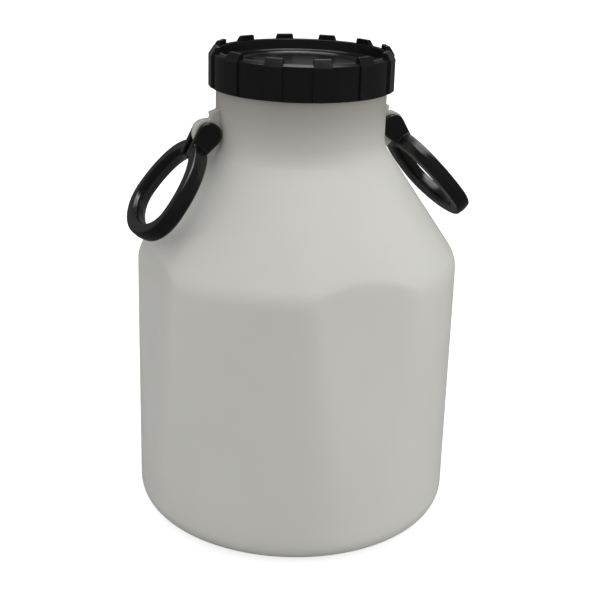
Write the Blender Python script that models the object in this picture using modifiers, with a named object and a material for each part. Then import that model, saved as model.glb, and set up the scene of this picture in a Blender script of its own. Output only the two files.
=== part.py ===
"""Ten-litre wide-mouth can with a screw cap and two ring handles.

Metres, +Z up. The origin is the centre of the flat base. The handles hang on
the -X and +X sides, and the front label panel is turned 5 degrees from -Y.
"""

from math import acos, atan2, copysign, cos, pi, radians, sin, tan

import bpy
from mathutils import Euler, Matrix, Vector

# Driving dimensions of the can's body
WALL_RADIUS = 0.1150
FOOT_RADIUS = 0.0192
SHOULDER_RADIUS = 0.0218
SHOULDER_Z = 0.1953
NECK_ROOT_Z = 0.2749
NECK_FILLET = 0.0220
NECK_RADIUS = 0.0595
NECK_TOP_Z = 0.3280
NECK_LIP = 0.0006
BODY_STEPS = 80

# Four flat label panels, which run out to nothing near the foot
PANEL_COUNT = 4
PANEL_TURN = radians(5.0)
PANEL_TOP_DISTANCE = 0.1083
PANEL_TOP_Z = 0.2050
PANEL_FOOT_DISTANCE = 0.1152
PANEL_FOOT_Z = 0.0220

# Ears that carry the handles
PIVOT_X = 0.0684
PIVOT_Z = 0.2845
EAR_RADIUS = 0.0100
EAR_THICKNESS = 0.0070
EAR_HOLE_RADIUS = 0.0040
EAR_LEDGE = ((0.0550, 0.3034), (0.0666, 0.2988), (0.0659, 0.2961))
EAR_WEB_ANGLE = radians(-50.0)
EAR_WEB_LENGTH = 0.0240

# Screw cap
CAP_RADIUS = 0.0634
CAP_INNER_RADIUS = 0.0611
CAP_BOTTOM_Z = 0.3142
CAP_RIM_Z = 0.3385
CAP_CHAMFER = (0.0036, 0.0026)
CAP_RECESS_RADIUS = 0.0576
CAP_RECESS_DEPTH = 0.0075
CAP_RECESS_DRAFT = 0.0010
CAP_FLOOR_THICKNESS = 0.0022
CAP_EDGE = 0.0005
CAP_STEPS = 72
FLOOR_RING_RADII = (0.0426, 0.0466)
FLOOR_RING_HEIGHT = 0.0008
LUG_COUNT = 12
LUG_PHASE = radians(-7.5)
LUG_WIDTH = 0.0135
LUG_TOP_WIDTH = 0.0114
LUG_TOP_Z = 0.3423
PAD_RADIUS = 0.0645

# Ring handles
RING_HALF_WIDTH = 0.0412
RING_LOWER_LENGTH = 0.0278
RING_UPPER_LENGTH = 0.0478
RING_CENTRE_DROP = 0.0571
RING_LOWER_ROUNDNESS = 2.05
RING_UPPER_ROUNDNESS = 2.0
RING_THICKNESS = 0.0088
RING_BAND = 0.0114
RING_EDGE = 0.0016
RING_POINTS = 60
ARM_GAP = 0.0006
ARM_THICKNESS = 0.0050
ARM_DISC_RADIUS = 0.0086
ARM_LENGTH = 0.0215
STUD_RADIUS = 0.0036
STUD_LENGTH = 0.0037
HANG_LEFT = radians(36.5)
HANG_RIGHT = radians(40.2)

CUT_MARGIN = 0.0300


def clear_scene():
    """Removes whatever the scene holds."""
    for scene_object in list(bpy.data.objects):
        bpy.data.objects.remove(scene_object, do_unlink=True)


def new_collection(name):
    collection = bpy.data.collections.new(name)
    bpy.context.scene.collection.children.link(collection)
    return collection


def new_material(name, colour, roughness):
    material = bpy.data.materials.new(name)
    material.use_nodes = True
    shader = material.node_tree.nodes["Principled BSDF"]
    shader.inputs["Base Color"].default_value = (*colour, 1.0)
    shader.inputs["Roughness"].default_value = roughness
    shader.inputs["Metallic"].default_value = 0.0
    material.diffuse_color = (*colour, 1.0)
    return material


def place(scene_object, collection):
    """Moves an object into one collection."""
    for owner in list(scene_object.users_collection):
        owner.objects.unlink(scene_object)
    collection.objects.link(scene_object)
    return scene_object


def select_only(scene_object):
    bpy.ops.object.select_all(action="DESELECT")
    scene_object.select_set(True)
    bpy.context.view_layer.objects.active = scene_object


def mark_as_cutter(scene_object):
    place(scene_object, cutters)
    scene_object.hide_render = True
    scene_object.display_type = "WIRE"
    return scene_object


def apply_boolean(target, tool, operation):
    """Joins or cuts the target with one tool object, then removes the tool."""
    modifier = target.modifiers.new(operation.lower(), "BOOLEAN")
    modifier.operation = operation
    modifier.solver = "EXACT"
    modifier.object = tool
    select_only(target)
    bpy.ops.object.modifier_apply(modifier=modifier.name)
    bpy.data.objects.remove(tool, do_unlink=True)


def shade_round(scene_object, angle=radians(30.0)):
    scene_object.data.shade_smooth()
    scene_object.data.set_sharp_from_angle(angle=angle)


def rounded_corner(before, corner, after, radius, count):
    """Points of the arc that rounds one corner of an outline."""
    corner = Vector(corner)
    towards_before = (Vector(before) - corner).normalized()
    towards_after = (Vector(after) - corner).normalized()
    half_angle = towards_before.angle(towards_after) / 2.0
    middle = (towards_before + towards_after).normalized()
    centre = corner + middle * (radius / sin(half_angle))
    start = corner + towards_before * (radius / tan(half_angle)) - centre
    end = corner + towards_after * (radius / tan(half_angle)) - centre
    points = []
    sweep = start.angle(end)
    for step in range(count + 1):
        part = step / count
        weight_start = sin((1.0 - part) * sweep) / sin(sweep)
        weight_end = sin(part * sweep) / sin(sweep)
        points.append(tuple(centre + start * weight_start + end * weight_end))
    return points


def turned_object(name, profile, steps):
    """A solid of revolution from (radius, height) points, top to bottom outside."""
    mesh = bpy.data.meshes.new(name)
    edges = [(index, index + 1) for index in range(len(profile) - 1)]
    mesh.from_pydata([(radius, 0.0, height) for radius, height in profile], edges, [])
    turned = bpy.data.objects.new(name, mesh)
    parts.objects.link(turned)
    screw = turned.modifiers.new("turn", "SCREW")
    screw.steps = steps
    screw.render_steps = steps
    screw.use_merge_vertices = True
    screw.merge_threshold = 0.00001
    screw.use_smooth_shade = True
    select_only(turned)
    bpy.ops.object.modifier_apply(modifier="turn")
    return turned


def curve_as_mesh(curve_object, name, collection):
    """Makes a mesh object from a curve object, with its caps welded."""
    bpy.context.view_layer.update()
    graph = bpy.context.evaluated_depsgraph_get()
    mesh = bpy.data.meshes.new_from_object(curve_object.evaluated_get(graph))
    made = bpy.data.objects.new(name, mesh)
    made.matrix_world = curve_object.matrix_world.copy()
    collection.objects.link(made)
    bpy.data.objects.remove(curve_object, do_unlink=True)
    select_only(made)
    weld = made.modifiers.new("weld", "WELD")
    weld.merge_threshold = 0.00001
    bpy.ops.object.modifier_apply(modifier="weld")
    return made


def outline_curve(name, points):
    """A closed flat curve in its own XY plane."""
    curve = bpy.data.curves.new(name, "CURVE")
    curve.dimensions = "2D"
    spline = curve.splines.new("POLY")
    spline.points.add(len(points) - 1)
    for point, (across, along) in zip(spline.points, points):
        point.co = (across, along, 0.0, 1.0)
    spline.use_cyclic_u = True
    made = bpy.data.objects.new(name, curve)
    cutters.objects.link(made)
    return made


def upright_plate(name, points, thickness, centre_y):
    """A plate standing in the XZ plane, from (x, z) outline points."""
    outline = outline_curve(name, points)
    outline.data.fill_mode = "BOTH"
    outline.data.extrude = thickness / 2.0
    outline.rotation_euler = (pi / 2.0, 0.0, 0.0)
    outline.location.y = centre_y
    plate = curve_as_mesh(outline, name, cutters)
    select_only(plate)
    bpy.ops.object.transform_apply(location=True, rotation=True, scale=True)
    return plate


def cross_pin(name, radius, length, centre, vertices):
    """A cylinder whose axis runs along Y."""
    bpy.ops.mesh.primitive_cylinder_add(
        vertices=vertices, radius=radius, depth=length, location=centre, rotation=(pi / 2.0, 0.0, 0.0)
    )
    pin = bpy.context.object
    pin.name = name
    bpy.ops.object.transform_apply(location=True, rotation=True, scale=True)
    return mark_as_cutter(pin)


def body_profile():
    wall_top = (WALL_RADIUS, SHOULDER_Z)
    neck_root = (NECK_RADIUS, NECK_ROOT_Z)
    profile = [(0.0, NECK_TOP_Z), (NECK_RADIUS - NECK_LIP, NECK_TOP_Z), (NECK_RADIUS, NECK_TOP_Z - NECK_LIP)]
    profile += rounded_corner((NECK_RADIUS, NECK_TOP_Z), neck_root, wall_top, NECK_FILLET, 6)
    profile += rounded_corner(neck_root, wall_top, (WALL_RADIUS, 0.0), SHOULDER_RADIUS, 6)
    profile += rounded_corner(wall_top, (WALL_RADIUS, 0.0), (0.0, 0.0), FOOT_RADIUS, 8)
    profile.append((0.0, 0.0))
    return profile


def cut_panel(body, index):
    """Planes one label panel off the wall."""
    lean = atan2(PANEL_FOOT_DISTANCE - PANEL_TOP_DISTANCE, PANEL_TOP_Z - PANEL_FOOT_Z)
    bpy.ops.mesh.primitive_cube_add(size=1.0)
    cutter = bpy.context.object
    cutter.name = f"panel_cutter_{index}"
    cutter.scale = (2.0 * WALL_RADIUS, CUT_MARGIN, 2.0 * PANEL_TOP_Z)
    bpy.ops.object.transform_apply(location=False, rotation=False, scale=True)
    lean_turn = Matrix.Rotation(-lean, 4, "X")
    inner_face = Vector((0.0, CUT_MARGIN / 2.0, 0.0))
    reach = Vector((0.0, -PANEL_TOP_DISTANCE, PANEL_TOP_Z)) - lean_turn @ inner_face
    around = Matrix.Rotation(PANEL_TURN + index * 2.0 * pi / PANEL_COUNT, 4, "Z")
    cutter.matrix_world = around @ Matrix.Translation(reach) @ lean_turn
    mark_as_cutter(cutter)
    apply_boolean(body, cutter, "DIFFERENCE")


def ear_outline(side):
    """(x, z) outline of the ear on one side, -1 or +1."""
    points = list(EAR_LEDGE)
    arc_start = radians(100.0)
    arc_points = 14
    for step in range(arc_points + 1):
        angle = arc_start + (EAR_WEB_ANGLE - arc_start) * step / arc_points
        points.append((PIVOT_X + EAR_RADIUS * cos(angle), PIVOT_Z + EAR_RADIUS * sin(angle)))
    last_x, last_z = points[-1]
    web_x = last_x + EAR_WEB_LENGTH * sin(EAR_WEB_ANGLE)
    web_z = last_z - EAR_WEB_LENGTH * cos(EAR_WEB_ANGLE)
    points.append((web_x, web_z))
    points.append((EAR_LEDGE[0][0] - NECK_LIP, web_z))
    return [(side * x, z) for x, z in points]


def add_ear(body, side):
    ear = upright_plate(f"ear_{side}", ear_outline(side), EAR_THICKNESS, 0.0)
    centre = (side * PIVOT_X, 0.0, PIVOT_Z)
    hole = cross_pin(f"ear_hole_{side}", EAR_HOLE_RADIUS, EAR_THICKNESS + CUT_MARGIN, centre, 24)
    apply_boolean(ear, hole, "DIFFERENCE")
    apply_boolean(body, ear, "UNION")


def make_body():
    body = turned_object("body", body_profile(), BODY_STEPS)
    for index in range(PANEL_COUNT):
        cut_panel(body, index)
    for side in (-1, 1):
        add_ear(body, side)
    body.data.materials.append(new_material("natural_plastic", (0.62, 0.61, 0.57), 0.42))
    shade_round(body)
    return body


def cap_profile():
    floor_z = CAP_RIM_Z - CAP_RECESS_DEPTH
    ring_inner, ring_outer = FLOOR_RING_RADII
    chamfer_in, chamfer_down = CAP_CHAMFER
    return [
        (0.0, floor_z),
        (ring_inner, floor_z),
        (ring_inner + FLOOR_RING_HEIGHT, floor_z + FLOOR_RING_HEIGHT),
        (ring_outer - FLOOR_RING_HEIGHT, floor_z + FLOOR_RING_HEIGHT),
        (ring_outer, floor_z),
        (CAP_RECESS_RADIUS - CAP_RECESS_DRAFT, floor_z),
        (CAP_RECESS_RADIUS, CAP_RIM_Z - CAP_EDGE),
        (CAP_RECESS_RADIUS + CAP_EDGE, CAP_RIM_Z),
        (CAP_RADIUS - chamfer_in, CAP_RIM_Z),
        (CAP_RADIUS, CAP_RIM_Z - chamfer_down),
        (CAP_RADIUS, CAP_BOTTOM_Z + CAP_EDGE),
        (CAP_RADIUS - CAP_EDGE, CAP_BOTTOM_Z),
        (CAP_INNER_RADIUS, CAP_BOTTOM_Z),
        (CAP_INNER_RADIUS, floor_z - CAP_FLOOR_THICKNESS),
        (0.0, floor_z - CAP_FLOOR_THICKNESS),
    ]


def lug_outline():
    """(x, z) outline of one grip lug: a pad down the skirt and a tooth above the rim."""
    wall_middle = (CAP_RADIUS + CAP_INNER_RADIUS) / 2.0
    pad_top_z = CAP_RIM_Z - CAP_CHAMFER[1] + CAP_EDGE
    tooth_inner = CAP_RECESS_RADIUS + CAP_EDGE
    tooth_outer = CAP_RADIUS - CAP_CHAMFER[0] + CAP_EDGE
    return [
        (wall_middle, CAP_BOTTOM_Z + CAP_EDGE),
        (PAD_RADIUS, CAP_BOTTOM_Z + CAP_EDGE),
        (PAD_RADIUS, pad_top_z),
        (tooth_outer, LUG_TOP_Z),
        (tooth_inner, LUG_TOP_Z),
        (tooth_inner, CAP_RIM_Z - CAP_CHAMFER[1]),
        (wall_middle, CAP_RIM_Z - 2.0 * CAP_CHAMFER[1]),
    ]


def add_lugs(cap):
    """Joins the ring of lugs to the cap in one union."""
    lug_group = new_collection("lugs")
    pattern = upright_plate("lug", lug_outline(), LUG_WIDTH, 0.0)
    for vertex in pattern.data.vertices:
        if vertex.co.z > LUG_TOP_Z - CAP_EDGE:
            vertex.co.y *= LUG_TOP_WIDTH / LUG_WIDTH
    for index in range(LUG_COUNT):
        lug = bpy.data.objects.new(f"lug_{index}", pattern.data.copy())
        lug.rotation_euler.z = LUG_PHASE - pi / 2.0 + index * 2.0 * pi / LUG_COUNT
        lug_group.objects.link(lug)
    bpy.data.objects.remove(pattern, do_unlink=True)
    union = cap.modifiers.new("lugs", "BOOLEAN")
    union.operation = "UNION"
    union.solver = "EXACT"
    union.operand_type = "COLLECTION"
    union.collection = lug_group
    select_only(cap)
    bpy.ops.object.modifier_apply(modifier="lugs")
    for lug in list(lug_group.objects):
        bpy.data.objects.remove(lug, do_unlink=True)
    bpy.data.collections.remove(lug_group)


def make_cap():
    cap = turned_object("cap", cap_profile(), CAP_STEPS)
    add_lugs(cap)
    cap.data.materials.append(new_material("cap_plastic", (0.012, 0.012, 0.013), 0.30))
    shade_round(cap)
    return cap


def ring_point(angle):
    """Middle line of the ring as (y, z), with angle 0 at its lowest point."""
    lower = cos(angle) > 0.0
    length = RING_LOWER_LENGTH if lower else RING_UPPER_LENGTH
    power = 2.0 / (RING_LOWER_ROUNDNESS if lower else RING_UPPER_ROUNDNESS)
    half_band = RING_THICKNESS / 2.0
    along = copysign(abs(cos(angle)) ** power, cos(angle)) * (length - half_band)
    across = copysign(abs(sin(angle)) ** power, sin(angle)) * (RING_HALF_WIDTH - half_band)
    return (across, -RING_CENTRE_DROP - along)


def band_section():
    """Rounded rectangle across the ring's band: (outwards, along X)."""
    half_thickness = RING_THICKNESS / 2.0
    half_band = RING_BAND / 2.0
    corners = [(1, 1), (-1, 1), (-1, -1), (1, -1)]
    points = []
    for index, (right, up) in enumerate(corners):
        centre = (right * (half_thickness - RING_EDGE), up * (half_band - RING_EDGE))
        for step in range(3):
            angle = pi / 2.0 * index + pi / 4.0 * step
            points.append((centre[0] + RING_EDGE * cos(angle), centre[1] + RING_EDGE * sin(angle)))
    return points


def even_ring_points():
    """The ring's middle line at even distances along it."""
    fine = [ring_point(2.0 * pi * step / 720) for step in range(721)]
    travelled = [0.0]
    for start, end in zip(fine, fine[1:]):
        travelled.append(travelled[-1] + (Vector(end) - Vector(start)).length)
    points = []
    index = 0
    for step in range(RING_POINTS):
        wanted = travelled[-1] * step / RING_POINTS
        while travelled[index + 1] < wanted:
            index += 1
        part = (wanted - travelled[index]) / (travelled[index + 1] - travelled[index])
        points.append(tuple(Vector(fine[index]).lerp(Vector(fine[index + 1]), part)))
    return points


def make_band(name):
    """The ring's band, hanging along -Z from the hinge axis, open at the ear."""
    section = outline_curve(f"{name}_section", band_section())
    path = outline_curve(f"{name}_path", even_ring_points())
    path.data.fill_mode = "NONE"
    path.data.bevel_mode = "OBJECT"
    path.data.bevel_object = section
    path.matrix_world = Matrix(((0, 0, 1, 0), (1, 0, 0, 0), (0, 1, 0, 0), (0, 0, 0, 1)))
    band = curve_as_mesh(path, name, parts)
    bpy.data.objects.remove(section, do_unlink=True)
    select_only(band)
    bpy.ops.object.transform_apply(location=True, rotation=True, scale=True)
    slot_width = EAR_THICKNESS + 2.0 * ARM_GAP
    bpy.ops.mesh.primitive_cube_add(size=1.0, location=(0.0, 0.0, -ARM_LENGTH / 2.0))
    slot = bpy.context.object
    slot.name = f"{name}_slot"
    slot.scale = (CUT_MARGIN, slot_width, ARM_LENGTH + CUT_MARGIN / 3.0)
    bpy.ops.object.transform_apply(location=True, rotation=True, scale=True)
    apply_boolean(band, mark_as_cutter(slot), "DIFFERENCE")
    return band


def arm_outline():
    """(x, z) outline of one arm: a disc on the hinge axis that narrows to the band."""
    tip_half = RING_BAND / 2.0 - RING_EDGE / 2.0
    tip_z = -ARM_LENGTH
    distance = (tip_half**2 + tip_z**2) ** 0.5
    leave = atan2(tip_z, tip_half) + acos(ARM_DISC_RADIUS / distance)
    points = [(tip_half, tip_z)]
    arc_points = 14
    for step in range(arc_points + 1):
        angle = leave + (pi - 2.0 * leave) * step / arc_points
        points.append((ARM_DISC_RADIUS * cos(angle), ARM_DISC_RADIUS * sin(angle)))
    points.append((-tip_half, tip_z))
    return points


def make_handle(name, side, hang):
    handle = make_band(name)
    arm_inner = EAR_THICKNESS / 2.0 + ARM_GAP
    for end in (-1, 1):
        arm = upright_plate(f"{name}_arm_{end}", arm_outline(), ARM_THICKNESS, end * (arm_inner + ARM_THICKNESS / 2.0))
        stud_centre = end * (arm_inner + (ARM_THICKNESS - STUD_LENGTH) / 4.0)
        stud_reach = STUD_LENGTH + ARM_THICKNESS / 2.0
        stud = cross_pin(f"{name}_stud_{end}", STUD_RADIUS, stud_reach, (0.0, stud_centre, 0.0), 20)
        apply_boolean(arm, stud, "UNION")
        apply_boolean(handle, arm, "UNION")
    turn = Euler((0.0, -hang, 0.0 if side > 0 else pi))
    handle.matrix_world = Matrix.Translation((side * PIVOT_X, 0.0, PIVOT_Z)) @ turn.to_matrix().to_4x4()
    handle.data.materials.append(new_material(f"{name}_plastic", (0.014, 0.014, 0.014), 0.28))
    shade_round(handle)
    return handle


clear_scene()
parts = new_collection("wide_mouth_can")
cutters = new_collection("cutters")
make_body()
make_cap()
make_handle("handle_left", -1, HANG_LEFT)
make_handle("handle_right", 1, HANG_RIGHT)
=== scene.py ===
from math import acos, atan2, copysign, cos, exp, log, pi, radians, sin, tan

import bpy
from mathutils import Euler, Matrix, Vector


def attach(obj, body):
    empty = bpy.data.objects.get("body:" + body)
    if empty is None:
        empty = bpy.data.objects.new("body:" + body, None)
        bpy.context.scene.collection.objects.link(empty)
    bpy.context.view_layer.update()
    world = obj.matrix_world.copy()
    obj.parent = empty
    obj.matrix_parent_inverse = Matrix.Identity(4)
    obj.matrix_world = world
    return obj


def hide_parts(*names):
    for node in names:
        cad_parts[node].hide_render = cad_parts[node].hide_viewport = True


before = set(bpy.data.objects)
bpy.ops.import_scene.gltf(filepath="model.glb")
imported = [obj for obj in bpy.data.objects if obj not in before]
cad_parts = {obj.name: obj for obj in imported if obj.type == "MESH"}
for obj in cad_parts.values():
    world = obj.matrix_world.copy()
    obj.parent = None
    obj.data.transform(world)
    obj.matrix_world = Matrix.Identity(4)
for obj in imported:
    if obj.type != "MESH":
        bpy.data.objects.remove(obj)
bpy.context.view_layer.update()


# Small helpers for working as in the viewport

making = {
    "weldDistance": 0.00001,
    "turnedSmooth": radians(40),
    "edgeSharper": radians(60),
    "edgeSegments": 3,
    "pinSides": 40,
}


def activate(piece):
    bpy.ops.object.select_all(action="DESELECT")
    piece.select_set(True)
    bpy.context.view_layer.objects.active = piece


def editPiece(piece, mode="VERT"):
    activate(piece)
    bpy.ops.object.mode_set(mode="EDIT")
    bpy.ops.mesh.select_mode(type=mode)
    bpy.ops.mesh.select_all(action="DESELECT")


def leaveEdit():
    bpy.ops.object.mode_set(mode="OBJECT")


def applyModifier(piece, kind, name, **values):
    modifier = piece.modifiers.new(name, kind)
    for key, value in values.items():
        setattr(modifier, key, value)
    activate(piece)
    bpy.ops.object.modifier_apply(modifier=name)


def combine(piece, tool, operation):
    applyModifier(piece, "BOOLEAN", operation.lower(), operation=operation, solver="EXACT", object=tool)
    bpy.data.objects.remove(tool, do_unlink=True)


def tidyMesh(piece):
    editPiece(piece)
    bpy.ops.mesh.select_all(action="SELECT")
    bpy.ops.mesh.remove_doubles(threshold=making["weldDistance"])
    bpy.ops.mesh.normals_make_consistent(inside=False)
    leaveEdit()
    activate(piece)
    bpy.ops.object.shade_smooth_by_angle(angle=making["turnedSmooth"])


def roundCorner(before, corner, after, radius, count):
    corner = Vector(corner)
    toBefore = (Vector(before) - corner).normalized()
    toAfter = (Vector(after) - corner).normalized()
    half = toBefore.angle(toAfter) / 2
    centre = corner + (toBefore + toAfter).normalized() * (radius / sin(half))
    start = corner + toBefore * (radius / tan(half)) - centre
    end = corner + toAfter * (radius / tan(half)) - centre
    sweep = start.angle(end)
    arc = []
    for step in range(count + 1):
        part = step / count
        arc.append(centre + (start * sin((1 - part) * sweep) + end * sin(part * sweep)) / sin(sweep))
    return arc


def roundedPath(corners, step):
    # each corner is (radius from the axis, height, rounding, arc points)
    # straight runs are split evenly at about the given step
    path = []
    for index, (across, up, rounding, count) in enumerate(corners):
        if rounding:
            before = corners[index - 1][:2]
            after = corners[index + 1][:2]
            path += roundCorner(before, (across, up), after, rounding, count)
        else:
            path.append(Vector((across, up)))
    split = [path[0]]
    for start, end in zip(path, path[1:]):
        pieces = max(1, round((end - start).length / step))
        split += [start.lerp(end, (number + 1) / pieces) for number in range(pieces)]
    return split


def turnPath(name, path, steps):
    # one vertex is drawn along the path, then spun round the axis
    bpy.ops.object.select_all(action="DESELECT")
    bpy.ops.mesh.primitive_plane_add(size=0.001)
    piece = bpy.context.object
    piece.name = name
    bpy.ops.object.mode_set(mode="EDIT")
    bpy.ops.mesh.select_mode(type="VERT")
    bpy.ops.mesh.select_all(action="SELECT")
    bpy.ops.mesh.merge(type="CENTER")
    bpy.ops.transform.translate(value=(path[0][0], 0, path[0][1]))
    for start, end in zip(path, path[1:]):
        move = (end[0] - start[0], 0, end[1] - start[1])
        bpy.ops.mesh.extrude_vertices_move(TRANSFORM_OT_translate={"value": move})
    bpy.ops.mesh.select_all(action="SELECT")
    bpy.ops.mesh.spin(steps=steps, angle=2 * pi, center=(0, 0, 0), axis=(0, 0, 1))
    leaveEdit()
    tidyMesh(piece)
    return piece


def standPlate(name, outline, thickness, middleY, edgeRound):
    # a flat outline of (x, z) points, pulled out to a plate, with rounded edges if asked
    bpy.ops.object.select_all(action="DESELECT")
    bpy.ops.mesh.primitive_circle_add(vertices=len(outline), radius=0.01, fill_type="NGON")
    plate = bpy.context.object
    plate.name = name
    for vertex, (across, up) in zip(plate.data.vertices, outline):
        vertex.co = (across, middleY - thickness / 2, up)
    editPiece(plate, "FACE")
    bpy.ops.mesh.select_all(action="SELECT")
    bpy.ops.mesh.extrude_region_move(TRANSFORM_OT_translate={"value": (0, thickness, 0)})
    bpy.ops.mesh.select_all(action="SELECT")
    bpy.ops.mesh.normals_make_consistent(inside=False)
    if edgeRound:
        bpy.ops.mesh.select_all(action="DESELECT")
        bpy.ops.mesh.select_mode(type="EDGE")
        bpy.ops.mesh.edges_select_sharp(sharpness=making["edgeSharper"])
        bpy.ops.mesh.bevel(offset=edgeRound, segments=making["edgeSegments"])
    leaveEdit()
    return plate


def crossPin(name, radius, length, centre):
    # a round pin along Y
    bpy.ops.object.select_all(action="DESELECT")
    bpy.ops.mesh.primitive_cylinder_add(
        vertices=making["pinSides"],
        radius=radius,
        depth=length,
        location=centre,
        rotation=(pi / 2, 0, 0),
    )
    pin = bpy.context.object
    pin.name = name
    bpy.ops.object.transform_apply(location=True, rotation=True, scale=True)
    return pin


def finishPiece(piece, node, body, material):
    piece.data.materials.clear()
    piece.data.materials.append(material)
    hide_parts(node)
    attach(piece, body)


# Materials: shared effects first, then one finish for each kind of moulding

mouldSkin = {
    "inputs": ("Ripple Scale", "Grain Scale", "Depth", "Rough Low", "Rough High"),
    "rippleDetail": 3,
    "grainDetail": 2,
    "grainShare": 0.18,
    "bumpDistance": 0.001,
    "glossFrom": 0.3,
    "glossTo": 0.7,
}


def buildMouldGrain():
    # fine skin of moulded plastic: a soft ripple with a finer grain on it, and slow patches of gloss
    group = bpy.data.node_groups.new("mould grain", "ShaderNodeTree")
    for label in mouldSkin["inputs"]:
        group.interface.new_socket(label, in_out="INPUT", socket_type="NodeSocketFloat")
    group.interface.new_socket("Roughness", in_out="OUTPUT", socket_type="NodeSocketFloat")
    group.interface.new_socket("Normal", in_out="OUTPUT", socket_type="NodeSocketVector")
    nodes, links = group.nodes, group.links
    given = nodes.new("NodeGroupInput")
    result = nodes.new("NodeGroupOutput")
    place = nodes.new("ShaderNodeTexCoord")
    ripple = nodes.new("ShaderNodeTexNoise")
    ripple.inputs["Detail"].default_value = mouldSkin["rippleDetail"]
    links.new(place.outputs["Object"], ripple.inputs["Vector"])
    links.new(given.outputs["Ripple Scale"], ripple.inputs["Scale"])
    grain = nodes.new("ShaderNodeTexNoise")
    grain.inputs["Detail"].default_value = mouldSkin["grainDetail"]
    links.new(place.outputs["Object"], grain.inputs["Vector"])
    links.new(given.outputs["Grain Scale"], grain.inputs["Scale"])
    fine = nodes.new("ShaderNodeMath")
    fine.operation = "MULTIPLY_ADD"
    fine.inputs[1].default_value = mouldSkin["grainShare"]
    links.new(grain.outputs["Fac"], fine.inputs[0])
    links.new(ripple.outputs["Fac"], fine.inputs[2])
    bump = nodes.new("ShaderNodeBump")
    bump.inputs["Distance"].default_value = mouldSkin["bumpDistance"]
    links.new(given.outputs["Depth"], bump.inputs["Strength"])
    links.new(fine.outputs["Value"], bump.inputs["Height"])
    gloss = nodes.new("ShaderNodeMapRange")
    gloss.inputs["From Min"].default_value = mouldSkin["glossFrom"]
    gloss.inputs["From Max"].default_value = mouldSkin["glossTo"]
    links.new(ripple.outputs["Fac"], gloss.inputs["Value"])
    links.new(given.outputs["Rough Low"], gloss.inputs["To Min"])
    links.new(given.outputs["Rough High"], gloss.inputs["To Max"])
    links.new(gloss.outputs["Result"], result.inputs["Roughness"])
    links.new(bump.outputs["Normal"], result.inputs["Normal"])
    return group


def newMaterial(name):
    material = bpy.data.materials.new(name)
    material.use_nodes = True
    return material, material.node_tree.nodes, material.node_tree.links


def addGrain(nodes, links, shader, values):
    grain = nodes.new("ShaderNodeGroup")
    grain.node_tree = mouldGrain
    for label, value in values.items():
        grain.inputs[label].default_value = value
    links.new(grain.outputs["Roughness"], shader.inputs["Roughness"])
    links.new(grain.outputs["Normal"], shader.inputs["Normal"])


milkyPlastic = {
    "thin": (0.66, 0.655, 0.62),
    "thick": (0.60, 0.595, 0.56),
    "cloudScale": 14,
    "cloudDetail": 4,
    "cloudRoughness": 0.45,
    # painted shade on the neck under the cap: colour multiplied in between these two heights
    "paintedNeckShade": (0.59, 0.57, 0.54),
    "paintedNeckShadeFromZ": 0.262,
    "paintedNeckShadeToZ": 0.312,
    "subsurface": 0.25,
    "subsurfaceRadius": (0.012, 0.012, 0.010),
    "ior": 1.5,
    "grain": {
        "Ripple Scale": 45,
        "Grain Scale": 1500,
        "Depth": 0.12,
        "Rough Low": 0.36,
        "Rough High": 0.46,
    },
}

blackPlastic = {
    "clean": (0.0042, 0.0040, 0.0042),
    "dusty": (0.0075, 0.0072, 0.0072),
    "dustScale": 30,
    "dustDetail": 5,
    "ior": 1.49,
    "specular": 0.5,
    "grain": {
        "Ripple Scale": 70,
        "Grain Scale": 1600,
        "Depth": 0.05,
        "Rough Low": 0.15,
        "Rough High": 0.24,
    },
}


def makeMilkyMaterial():
    # unpigmented polyethylene: cloudy white, a little light passing under the skin
    material, nodes, links = newMaterial("milky polyethylene")
    shader = nodes["Principled BSDF"]
    place = nodes.new("ShaderNodeTexCoord")
    cloud = nodes.new("ShaderNodeTexNoise")
    cloud.inputs["Scale"].default_value = milkyPlastic["cloudScale"]
    cloud.inputs["Detail"].default_value = milkyPlastic["cloudDetail"]
    cloud.inputs["Roughness"].default_value = milkyPlastic["cloudRoughness"]
    links.new(place.outputs["Object"], cloud.inputs["Vector"])
    tint = nodes.new("ShaderNodeMix")
    tint.data_type = "RGBA"
    tint.inputs["A"].default_value = (*milkyPlastic["thick"], 1)
    tint.inputs["B"].default_value = (*milkyPlastic["thin"], 1)
    links.new(cloud.outputs["Fac"], tint.inputs["Factor"])
    # painted shade: the base colour is darkened by height towards the cap, standing in for the cap's
    # shadow on the neck and the light the dark cap keeps from shining through it
    split = nodes.new("ShaderNodeSeparateXYZ")
    links.new(place.outputs["Object"], split.inputs["Vector"])
    paintedShadeMask = nodes.new("ShaderNodeMapRange")
    paintedShadeMask.interpolation_type = "SMOOTHSTEP"
    paintedShadeMask.inputs["From Min"].default_value = milkyPlastic["paintedNeckShadeFromZ"]
    paintedShadeMask.inputs["From Max"].default_value = milkyPlastic["paintedNeckShadeToZ"]
    links.new(split.outputs["Z"], paintedShadeMask.inputs["Value"])
    shade = nodes.new("ShaderNodeMix")
    shade.data_type = "RGBA"
    shade.blend_type = "MULTIPLY"
    shade.inputs["B"].default_value = (*milkyPlastic["paintedNeckShade"], 1)
    links.new(paintedShadeMask.outputs["Result"], shade.inputs["Factor"])
    links.new(tint.outputs["Result"], shade.inputs["A"])
    links.new(shade.outputs["Result"], shader.inputs["Base Color"])
    shader.inputs["Subsurface Weight"].default_value = milkyPlastic["subsurface"]
    shader.inputs["Subsurface Radius"].default_value = milkyPlastic["subsurfaceRadius"]
    shader.inputs["Subsurface Scale"].default_value = 1
    shader.inputs["IOR"].default_value = milkyPlastic["ior"]
    addGrain(nodes, links, shader, milkyPlastic["grain"])
    return material


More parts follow.
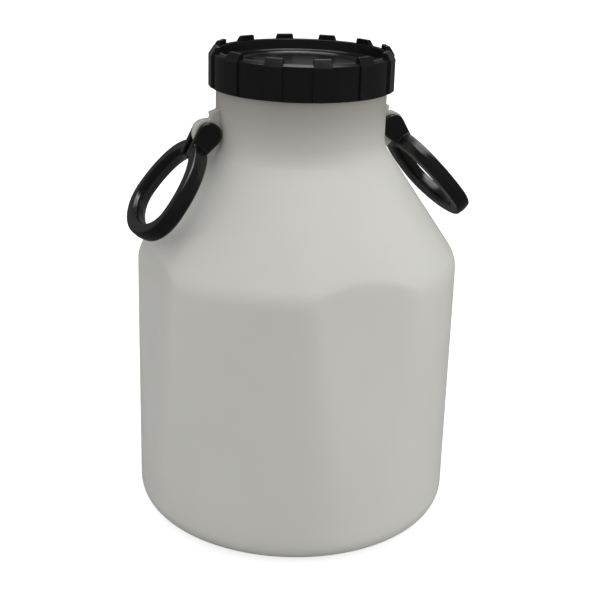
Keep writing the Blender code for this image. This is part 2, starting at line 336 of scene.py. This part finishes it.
def makeBlackMaterial(name):
    # black polypropylene with a half-gloss mould finish and a trace of handling dust
    material, nodes, links = newMaterial(name)
    shader = nodes["Principled BSDF"]
    place = nodes.new("ShaderNodeTexCoord")
    dust = nodes.new("ShaderNodeTexNoise")
    dust.inputs["Scale"].default_value = blackPlastic["dustScale"]
    dust.inputs["Detail"].default_value = blackPlastic["dustDetail"]
    links.new(place.outputs["Object"], dust.inputs["Vector"])
    tint = nodes.new("ShaderNodeMix")
    tint.data_type = "RGBA"
    tint.inputs["A"].default_value = (*blackPlastic["clean"], 1)
    tint.inputs["B"].default_value = (*blackPlastic["dusty"], 1)
    links.new(dust.outputs["Fac"], tint.inputs["Factor"])
    links.new(tint.outputs["Result"], shader.inputs["Base Color"])
    shader.inputs["IOR"].default_value = blackPlastic["ior"]
    shader.inputs["Specular IOR Level"].default_value = blackPlastic["specular"]
    addGrain(nodes, links, shader, blackPlastic["grain"])
    return material


mouldGrain = buildMouldGrain()
milkyMaterial = makeMilkyMaterial()
capMaterial = makeBlackMaterial("black cap plastic")
ringMaterial = makeBlackMaterial("black ring plastic")
print("materials made")

# The blown body, in metres

can = {
    "wall": 0.1150,
    "footRound": 0.0192,
    "shoulderRound": 0.0218,
    "shoulderZ": 0.1953,
    "neckRootZ": 0.2749,
    "neckRound": 0.0220,
    "neck": 0.0595,
    "neckTopZ": 0.3280,
    "lipRound": 0.0012,
    "rowStep": 0.0026,
    "steps": 240,
    "panelCount": 4,
    "panelTurn": radians(5),
    "panelTop": (0.1083, 0.2050),
    "panelFoot": (0.1152, 0.0220),
    "panelSoftness": 0.0007,
    "panelClearOfNeck": 0.002,
    "panelFacing": 0.7,
    "blendReach": 12,
    "smoothAngle": radians(32),
}

ear = {
    "pivotX": 0.0684,
    "pivotZ": 0.2845,
    "radius": 0.0100,
    "thickness": 0.0070,
    "hole": 0.0040,
    "ledge": ((0.0550, 0.3034), (0.0666, 0.2988), (0.0659, 0.2961)),
    "arcFrom": radians(100),
    "arcSteps": 28,
    "webAngle": radians(-50),
    "webLength": 0.0240,
    "sunkInNeck": 0.0006,
    "cutLength": 0.03,
    "edgeRound": 0.0007,
}


def flattenPanels(body):
    # each panel plane leans out towards the foot and blends softly into the round wall
    topReach, topZ = can["panelTop"]
    footReach, footZ = can["panelFoot"]
    soft = can["panelSoftness"]
    for vertex in body.data.vertices:
        across = Vector((vertex.co.x, vertex.co.y))
        if across.length < can["neck"] + can["panelClearOfNeck"]:
            continue
        reach = topReach + (footReach - topReach) * (topZ - vertex.co.z) / (topZ - footZ)
        for index in range(can["panelCount"]):
            facing = can["panelTurn"] - pi / 2 + index * 2 * pi / can["panelCount"]
            towards = across.dot(Vector((cos(facing), sin(facing)))) / across.length
            if towards < can["panelFacing"]:
                continue
            ratio = (across.length - reach / towards) / soft
            if ratio > -can["blendReach"]:
                pulledIn = soft * (ratio if ratio > can["blendReach"] else log(1 + exp(ratio)))
                across *= (across.length - pulledIn) / across.length
        vertex.co.x, vertex.co.y = across


def earOutline(side):
    # (x, z) points: the ledge above, the round end about the hinge axis, then the web down to the neck
    outline = list(ear["ledge"])
    radius = ear["radius"]
    first = ear["arcFrom"]
    for step in range(ear["arcSteps"] + 1):
        angle = first + (ear["webAngle"] - first) * step / ear["arcSteps"]
        outline.append((ear["pivotX"] + radius * cos(angle), ear["pivotZ"] + radius * sin(angle)))
    lastX, lastZ = outline[-1]
    webX = lastX + ear["webLength"] * sin(ear["webAngle"])
    webZ = lastZ - ear["webLength"] * cos(ear["webAngle"])
    outline.append((webX, webZ))
    outline.append((ear["ledge"][0][0] - ear["sunkInNeck"], webZ))
    return [(side * x, z) for x, z in outline]


def makeBody():
    corners = [
        (0, can["neckTopZ"], 0, 0),
        (can["neck"], can["neckTopZ"], can["lipRound"], 4),
        (can["neck"], can["neckRootZ"], can["neckRound"], 14),
        (can["wall"], can["shoulderZ"], can["shoulderRound"], 16),
        (can["wall"], 0, can["footRound"], 18),
        (0, 0, 0, 0),
    ]
    body = turnPath("canBody", roundedPath(corners, can["rowStep"]), can["steps"])
    flattenPanels(body)
    for side in (-1, 1):
        lug = standPlate("earPlate", earOutline(side), ear["thickness"], 0, ear["edgeRound"])
        centre = (side * ear["pivotX"], 0, ear["pivotZ"])
        combine(lug, crossPin("earHole", ear["hole"], ear["cutLength"], centre), "DIFFERENCE")
        combine(body, lug, "UNION")
    activate(body)
    bpy.ops.object.shade_smooth_by_angle(angle=can["smoothAngle"])
    finishPiece(body, "body", "can", milkyMaterial)


makeBody()
print("body made")

# The screw cap

cap = {
    "skirt": 0.0634,
    "inner": 0.0611,
    "bottomZ": 0.3142,
    "rimZ": 0.3388,
    "chamfer": (0.0027, 0.0013),
    "recess": 0.0576,
    "recessDepth": 0.0075,
    "draft": 0.0010,
    "floorThickness": 0.0022,
    "floorRing": (0.0426, 0.0466, 0.0008),
    "rowStep": 0.004,
    "steps": 288,
    "lugs": 12,
    "lugPhase": radians(-7.5),
    "lugWidth": 0.0135,
    "lugTopWidth": 0.0114,
    "lugTopZ": 0.3423,
    "lugTopReach": 0.0610,
    "lugBend": 0.0026,
    "pad": 0.0645,
    "edge": 0.0005,
    "lugEdge": 0.0004,
    "smoothAngle": radians(34),
}


def capPath():
    floorZ = cap["rimZ"] - cap["recessDepth"]
    ringIn, ringOut, ringUp = cap["floorRing"]
    chamferIn, chamferDown = cap["chamfer"]
    edge = cap["edge"]
    corners = [
        (0, floorZ, 0, 0),
        (ringIn, floorZ, ringUp, 3),
        (ringIn + ringUp, floorZ + ringUp, ringUp * 0.5, 3),
        (ringOut - ringUp, floorZ + ringUp, ringUp * 0.5, 3),
        (ringOut, floorZ, ringUp, 3),
        (cap["recess"] - cap["draft"], floorZ, edge * 2, 4),
        (cap["recess"], cap["rimZ"], edge, 4),
        (cap["skirt"] - chamferIn, cap["rimZ"], edge, 3),
        (cap["skirt"], cap["rimZ"] - chamferDown, edge, 3),
        (cap["skirt"], cap["bottomZ"], edge, 4),
        (cap["inner"], cap["bottomZ"], edge, 3),
        (cap["inner"], floorZ - cap["floorThickness"], edge, 3),
        (0, floorZ - cap["floorThickness"], 0, 0),
    ]
    return roundedPath(corners, cap["rowStep"])


def lugOutline():
    # (x, z) points of one lug: a pad down the skirt and a tooth above the rim
    wall = (cap["skirt"] + cap["inner"]) / 2
    return [
        (wall, cap["bottomZ"] + cap["edge"]),
        (cap["pad"], cap["bottomZ"] + cap["edge"]),
        (cap["pad"], cap["rimZ"] - cap["lugBend"] + cap["edge"]),
        (cap["lugTopReach"], cap["lugTopZ"]),
        (cap["recess"] + cap["edge"], cap["lugTopZ"]),
        (cap["recess"] + cap["edge"], cap["rimZ"] - cap["lugBend"]),
        (wall, cap["rimZ"] - 2 * cap["lugBend"]),
    ]


def makeCap():
    lid = turnPath("screwCap", capPath(), cap["steps"])
    pattern = standPlate("lug", lugOutline(), cap["lugWidth"], 0, 0)
    for vertex in pattern.data.vertices:
        if vertex.co.z > cap["lugTopZ"] - cap["edge"]:
            vertex.co.y *= cap["lugTopWidth"] / cap["lugWidth"]
    rounding = {"width": cap["lugEdge"], "segments": making["edgeSegments"], "limit_method": "ANGLE"}
    applyModifier(pattern, "BEVEL", "edge", **rounding)
    for index in range(cap["lugs"]):
        lug = pattern.copy()
        lug.data = pattern.data.copy()
        bpy.context.collection.objects.link(lug)
        lug.rotation_euler.z = cap["lugPhase"] - pi / 2 + index * 2 * pi / cap["lugs"]
        combine(lid, lug, "UNION")
    bpy.data.objects.remove(pattern, do_unlink=True)
    activate(lid)
    bpy.ops.object.shade_smooth_by_angle(angle=cap["smoothAngle"])
    applyModifier(lid, "WEIGHTED_NORMAL", "even", keep_sharp=True)
    finishPiece(lid, "cap", "can", capMaterial)


makeCap()
print("cap made")

# The ring handles, drawn hanging straight down from the hinge axis and then swung out

ring = {
    "halfWidth": 0.0412,
    "lower": (0.0278, 2.05),
    "upper": (0.0478, 2.0),
    "centreDrop": 0.0571,
    "thickness": 0.0088,
    "band": 0.0114,
    "edge": 0.0016,
    "ridge": 0.0005,
    "crown": 0.0008,
    "cornerSteps": 4,
    "steps": 180,
    "fineSteps": 1440,
    "slotWide": 0.03,
    "slotPastTop": 0.01,
    "armGap": 0.0006,
    "armThickness": 0.0050,
    "disc": 0.0086,
    "armLength": 0.0215,
    "armEdge": 0.0010,
    "discSteps": 36,
    "stud": 0.0036,
    "studLength": 0.0037,
    "voxel": 0.00042,
    "polish": 0.5,
    "polishTimes": 5,
    "hang": {"left": radians(36.5), "right": radians(40.2)},
}


def ringPoint(angle):
    # middle line of the band, with angle 0 at its lowest point
    length, power = ring["lower"] if cos(angle) > 0 else ring["upper"]
    half = ring["thickness"] / 2
    along = copysign(abs(cos(angle)) ** (2 / power), cos(angle)) * (length - half)
    across = copysign(abs(sin(angle)) ** (2 / power), sin(angle)) * (ring["halfWidth"] - half)
    return Vector((0, across, -ring["centreDrop"] - along))


def evenLoop(count):
    # points at even distances along the middle line
    fine = [ringPoint(2 * pi * step / ring["fineSteps"]) for step in range(ring["fineSteps"] + 1)]
    travelled = [0]
    for start, end in zip(fine, fine[1:]):
        travelled.append(travelled[-1] + (end - start).length)
    loop = []
    index = 0
    for step in range(count):
        wanted = travelled[-1] * step / count
        while travelled[index + 1] < wanted:
            index += 1
        part = (wanted - travelled[index]) / (travelled[index + 1] - travelled[index])
        loop.append(fine[index].lerp(fine[index + 1], part))
    return loop


def bandSection():
    # rounded rectangle of (outwards, along X), crowned inside, with a low mould ridge outside
    halfThick = ring["thickness"] / 2
    halfBand = ring["band"] / 2
    edge = ring["edge"]
    section = []
    for index, (right, up) in enumerate([(1, 1), (-1, 1), (-1, -1), (1, -1)]):
        for step in range(ring["cornerSteps"] + 1):
            angle = pi / 2 * index + pi / 2 / ring["cornerSteps"] * step
            outwards = right * (halfThick - edge) + edge * cos(angle)
            sideways = up * (halfBand - edge) + edge * sin(angle)
            section.append((outwards, sideways))
        if index == 1:
            for share in (0.5, 0, -0.5):
                section.append((-halfThick - ring["crown"] * (1 - share**2), share * halfBand))
    section.append((halfThick + ring["ridge"], 0))
    return section


def makeBand(name):
    # a torus gives the closed grid of faces, and each of its rows is then set on the oval
    section = bandSection()
    loop = evenLoop(ring["steps"])
    bpy.ops.object.select_all(action="DESELECT")
    bpy.ops.mesh.primitive_torus_add(
        major_segments=ring["steps"],
        minor_segments=len(section),
        major_radius=ring["halfWidth"],
        minor_radius=ring["thickness"] / 2,
    )
    band = bpy.context.object
    band.name = name
    for index, middle in enumerate(loop):
        heading = (loop[(index + 1) % len(loop)] - loop[index - 1]).normalized()
        outwards = Vector((0, -heading.z, heading.y))
        if outwards.dot(middle - Vector((0, 0, -ring["centreDrop"]))) < 0:
            outwards = -outwards
        for corner, (out, side) in enumerate(section):
            place = middle + outwards * out + Vector((side, 0, 0))
            band.data.vertices[index * len(section) + corner].co = place
    tidyMesh(band)
    slotWidth = ear["thickness"] + 2 * ring["armGap"]
    bpy.ops.object.select_all(action="DESELECT")
    bpy.ops.mesh.primitive_cube_add(size=1, location=(0, 0, -ring["armLength"] / 2))
    slot = bpy.context.object
    slot.scale = (ring["slotWide"], slotWidth, ring["armLength"] + ring["slotPastTop"])
    bpy.ops.object.transform_apply(location=True, rotation=True, scale=True)
    combine(band, slot, "DIFFERENCE")
    return band


def armOutline():
    # (x, z) points of one arm: a disc on the hinge axis that narrows to the band
    tipHalf = ring["band"] / 2 - ring["edge"] / 2
    tipZ = -ring["armLength"]
    distance = (tipHalf**2 + tipZ**2) ** 0.5
    leave = atan2(tipZ, tipHalf) + acos(ring["disc"] / distance)
    outline = [(tipHalf, tipZ)]
    for step in range(ring["discSteps"] + 1):
        angle = leave + (pi - 2 * leave) * step / ring["discSteps"]
        outline.append((ring["disc"] * cos(angle), ring["disc"] * sin(angle)))
    outline.append((-tipHalf, tipZ))
    return outline


def makeRing(name, side, hang, node, body):
    handle = makeBand(name)
    armInner = ear["thickness"] / 2 + ring["armGap"]
    thick = ring["armThickness"]
    for end in (-1, 1):
        arm = standPlate("arm", armOutline(), thick, end * (armInner + thick / 2), ring["armEdge"])
        studMiddle = end * (armInner + (thick - ring["studLength"]) / 4)
        studReach = ring["studLength"] + thick / 2
        combine(arm, crossPin("stud", ring["stud"], studReach, (0, studMiddle, 0)), "UNION")
        combine(handle, arm, "UNION")
    applyModifier(handle, "REMESH", "skin", mode="VOXEL", voxel_size=ring["voxel"], adaptivity=0)
    applyModifier(handle, "SMOOTH", "polish", factor=ring["polish"], iterations=ring["polishTimes"])
    turn = Euler((0, -hang, 0 if side > 0 else pi)).to_matrix().to_4x4()
    handle.matrix_world = Matrix.Translation((side * ear["pivotX"], 0, ear["pivotZ"])) @ turn
    activate(handle)
    bpy.ops.object.transform_apply(location=True, rotation=True, scale=True)
    bpy.ops.object.shade_smooth()
    finishPiece(handle, node, body, ringMaterial)


makeRing("ringLeft", -1, ring["hang"]["left"], "handle_left", "left_ring")
makeRing("ringRight", 1, ring["hang"]["right"], "handle_right", "right_ring")
print("ring handles made")

# Floor, light and camera

studio = {
    "floorHalf": 6,
    "floorZ": -0.0002,
    "floorRoughness": 0.9,
    "floorColour": (0.62, 0.62, 0.62),
    "floorReflected": (0.07, 0.07, 0.07),
    "floorGlow": 0.72,
    "skyStrength": 0.80,
    "roomReflected": 0.15,
    "ceilingReflected": 3.4,
    "ceilingFrom": 0.80,
    "ceilingTo": 0.90,
    "skySeen": 1.1,
    "lightsAimAt": (0, 0, 0.2),
    "softboxes": [
        ("overheadSoftbox", (0.12, -0.22, 1.5), (0.6, 0.6), 3.2, True),
        ("rightSoftbox", (1.35, -0.75, 0.45), (0.5, 0.9), 4.8, False),
        ("leftSoftbox", (-1.4, 0.2, 0.25), (0.4, 0.8), 1.2, False),
    ],
}


def makeFloor():
    # a pale floor that the camera sees as clean white, with a faint shadow under the can
    bpy.ops.object.select_all(action="DESELECT")
    bpy.ops.mesh.primitive_plane_add(size=2 * studio["floorHalf"], location=(0, 0, studio["floorZ"]))
    floor = bpy.context.object
    floor.name = "floor"
    material, nodes, links = newMaterial("white studio floor")
    shader = nodes["Principled BSDF"]
    shader.inputs["Roughness"].default_value = studio["floorRoughness"]
    shader.inputs["Emission Color"].default_value = (1, 1, 1, 1)
    path = nodes.new("ShaderNodeLightPath")
    tone = nodes.new("ShaderNodeMix")
    tone.data_type = "RGBA"
    tone.inputs["A"].default_value = (*studio["floorColour"], 1)
    tone.inputs["B"].default_value = (*studio["floorReflected"], 1)
    links.new(path.outputs["Is Glossy Ray"], tone.inputs["Factor"])
    links.new(tone.outputs["Result"], shader.inputs["Base Color"])
    glow = nodes.new("ShaderNodeMath")
    glow.operation = "MULTIPLY"
    glow.inputs[1].default_value = studio["floorGlow"]
    links.new(path.outputs["Is Camera Ray"], glow.inputs[0])
    links.new(glow.outputs["Value"], shader.inputs["Emission Strength"])
    floor.data.materials.append(material)


def makeWorld():
    world = bpy.data.worlds.new("studio")
    bpy.context.scene.world = world
    world.use_nodes = True
    nodes, links = world.node_tree.nodes, world.node_tree.links
    background = nodes["Background"]
    background.inputs["Color"].default_value = (1, 1, 1, 1)
    # the room lights the can evenly; in reflections it is dim below and bright at the ceiling
    path = nodes.new("ShaderNodeLightPath")
    place = nodes.new("ShaderNodeTexCoord")
    split = nodes.new("ShaderNodeSeparateXYZ")
    links.new(place.outputs["Generated"], split.inputs["Vector"])
    ceiling = nodes.new("ShaderNodeMapRange")
    ceiling.interpolation_type = "SMOOTHSTEP"
    ceiling.inputs["From Min"].default_value = studio["ceilingFrom"]
    ceiling.inputs["From Max"].default_value = studio["ceilingTo"]
    ceiling.inputs["To Min"].default_value = studio["roomReflected"]
    ceiling.inputs["To Max"].default_value = studio["ceilingReflected"]
    links.new(split.outputs["Z"], ceiling.inputs["Value"])
    given = nodes.new("ShaderNodeMapRange")
    given.inputs["To Min"].default_value = studio["skyStrength"]
    links.new(ceiling.outputs["Result"], given.inputs["To Max"])
    links.new(path.outputs["Is Glossy Ray"], given.inputs["Value"])
    strength = nodes.new("ShaderNodeMapRange")
    strength.inputs["To Max"].default_value = studio["skySeen"]
    links.new(given.outputs["Result"], strength.inputs["To Min"])
    links.new(path.outputs["Is Camera Ray"], strength.inputs["Value"])
    links.new(strength.outputs["Result"], background.inputs["Strength"])


def addSoftbox(name, place, size, power, reflected):
    light = bpy.data.lights.new(name, "AREA")
    light.shape = "RECTANGLE"
    light.size, light.size_y = size
    light.energy = power
    box = bpy.data.objects.new(name, light)
    bpy.context.scene.collection.objects.link(box)
    box.location = place
    box.visible_glossy = reflected
    aim = Vector(studio["lightsAimAt"]) - Vector(place)
    box.rotation_euler = aim.to_track_quat("-Z", "Y").to_euler()


view = {
    "distance": 0.861,
    "height": 0.4653,
    "sideStep": 0.00324,
    "azimuth": radians(-20.5),
    "pitch": radians(19.743),
    "roll": radians(1.641),
    "sensor": 36,
    "lens": 74.29,
    "clip": (0.05, 50),
}


def makeCamera():
    data = bpy.data.cameras.new("camera")
    data.sensor_width = view["sensor"]
    data.lens = view["lens"]
    data.clip_start, data.clip_end = view["clip"]
    camera = bpy.data.objects.new("camera", data)
    bpy.context.scene.collection.objects.link(camera)
    turn = view["azimuth"]
    away = Vector((sin(turn), -cos(turn), 0)) * view["distance"]
    aside = Vector((cos(turn), sin(turn), 0)) * view["sideStep"]
    camera.location = away + aside + Vector((0, 0, view["height"]))
    pitch = Matrix.Rotation(pi / 2 - view["pitch"], 4, "X")
    roll = Matrix.Rotation(view["roll"], 4, "Z")
    facing = Matrix.Rotation(turn, 4, "Z") @ pitch @ roll
    camera.rotation_euler = facing.to_euler()
    bpy.context.scene.camera = camera
    bpy.context.scene.view_settings.view_transform = "Standard"


makeFloor()
makeWorld()
for softbox in studio["softboxes"]:
    addSoftbox(*softbox)
makeCamera()
print("studio made")
